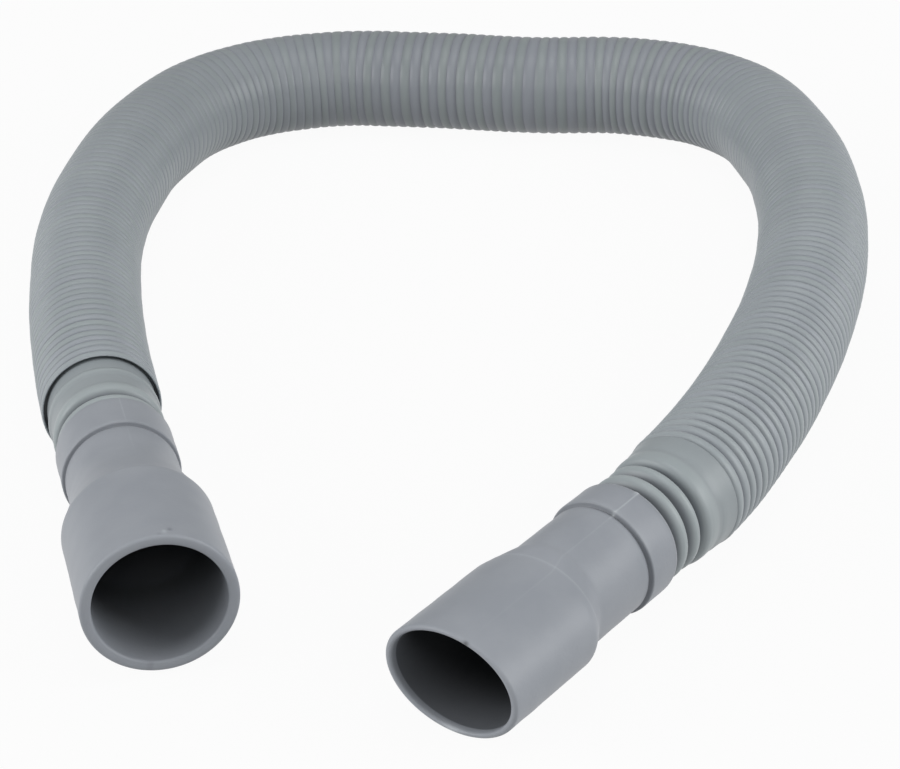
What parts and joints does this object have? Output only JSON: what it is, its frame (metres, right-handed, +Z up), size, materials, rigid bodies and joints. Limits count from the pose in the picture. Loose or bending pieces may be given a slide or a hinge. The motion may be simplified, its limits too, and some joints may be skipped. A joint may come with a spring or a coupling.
{
  "type": "extendable drain hose",
  "caption": "Extendable concertina drain hose lying in a U, with a soft connector cuff pushed over each end; either end draws out to lengthen the hose.",
  "frame": {"origin": "on the floor, under the middle of the whole hose as it lies", "axes": "+Z up; the U's open end and both mouths look towards -Y; +X is to the right seen from the open end"},
  "size_m": [0.1744, 0.2704, 0.0272],
  "materials": {
    "blown_plastic": "satin grey blown plastic",
    "soft_rubber": "matt grey moulded rubber"
  },
  "bodies": {
    "root": {"corrugated_hose": "blown_plastic"},
    "left_end": {"left_cuff": "soft_rubber"},
    "right_end": {"right_cuff": "soft_rubber"}
  },
  "joints": [
    {"name": "left_end_draws_out", "type": "slide", "parent": "root", "child": "left_end", "axis": [0.2215, -0.9751, 0], "range_m": [0, 0.2], "deforming": ["corrugated_hose"]},
    {"name": "right_end_draws_out", "type": "slide", "parent": "root", "child": "right_end", "axis": [0.9829, -0.1844, 0], "range_m": [0, 0.14], "deforming": ["corrugated_hose"]}
  ]
}
